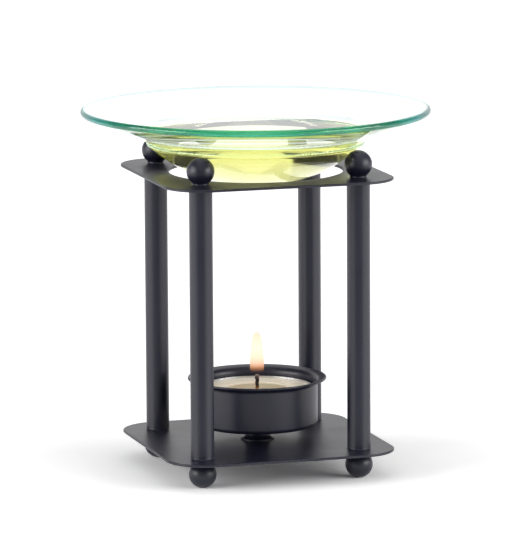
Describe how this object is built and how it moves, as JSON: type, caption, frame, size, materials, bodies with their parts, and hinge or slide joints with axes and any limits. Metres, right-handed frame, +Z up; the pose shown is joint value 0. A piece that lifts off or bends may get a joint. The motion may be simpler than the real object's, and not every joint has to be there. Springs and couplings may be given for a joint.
{
  "type": "oil warmer",
  "caption": "Square black steel frame on ball feet that holds a wide glass dish of scented oil over a tealight in a small cup.",
  "frame": {"origin": "centre of the plane that the four foot balls stand on", "axes": "+Z up through the centre of both plates and the dish, -Y towards the front, +X to the right seen from the front"},
  "size_m": [0.1206, 0.1206, 0.126],
  "materials": {
    "frame_paint": "satin black powder coat on mild steel",
    "dish_glass": "clear slumped float glass with a polished green edge",
    "oil": "clear pale yellow-green liquid",
    "can_aluminium": "bright drawn foil",
    "wax": "cream paraffin wax with a melted pool",
    "sustainer_steel": "tinned sheet",
    "wick_cotton": "burnt braided cotton",
    "flame_glow": "glowing candle flame"
  },
  "bodies": {
    "frame": {"base_plate": "frame_paint", "top_plate": "frame_paint", "post_front_left": "frame_paint", "post_front_right": "frame_paint", "post_back_left": "frame_paint", "post_back_right": "frame_paint", "foot_ball_front_left": "frame_paint", "foot_ball_front_right": "frame_paint", "foot_ball_back_left": "frame_paint", "foot_ball_back_right": "frame_paint", "rest_ball_front_left": "frame_paint", "rest_ball_front_right": "frame_paint", "rest_ball_back_left": "frame_paint", "rest_ball_back_right": "frame_paint", "cup_pedestal": "frame_paint", "candle_cup": "frame_paint"},
    "dish": {"glass_dish": "dish_glass", "scented_oil": "oil"},
    "tealight": {"tealight_can": "can_aluminium", "tealight_wax": "wax", "wick_sustainer": "sustainer_steel", "wick": "wick_cotton"}
  },
  "joints": [
    {"name": "dish_lift", "type": "slide", "parent": "frame", "child": "dish", "axis": [0, 0, 1], "range_m": [0, 0.04]},
    {"name": "tealight_lift", "type": "slide", "parent": "frame", "child": "tealight", "axis": [0, 0, 1], "range_m": [0, 0.025]}
  ]
}
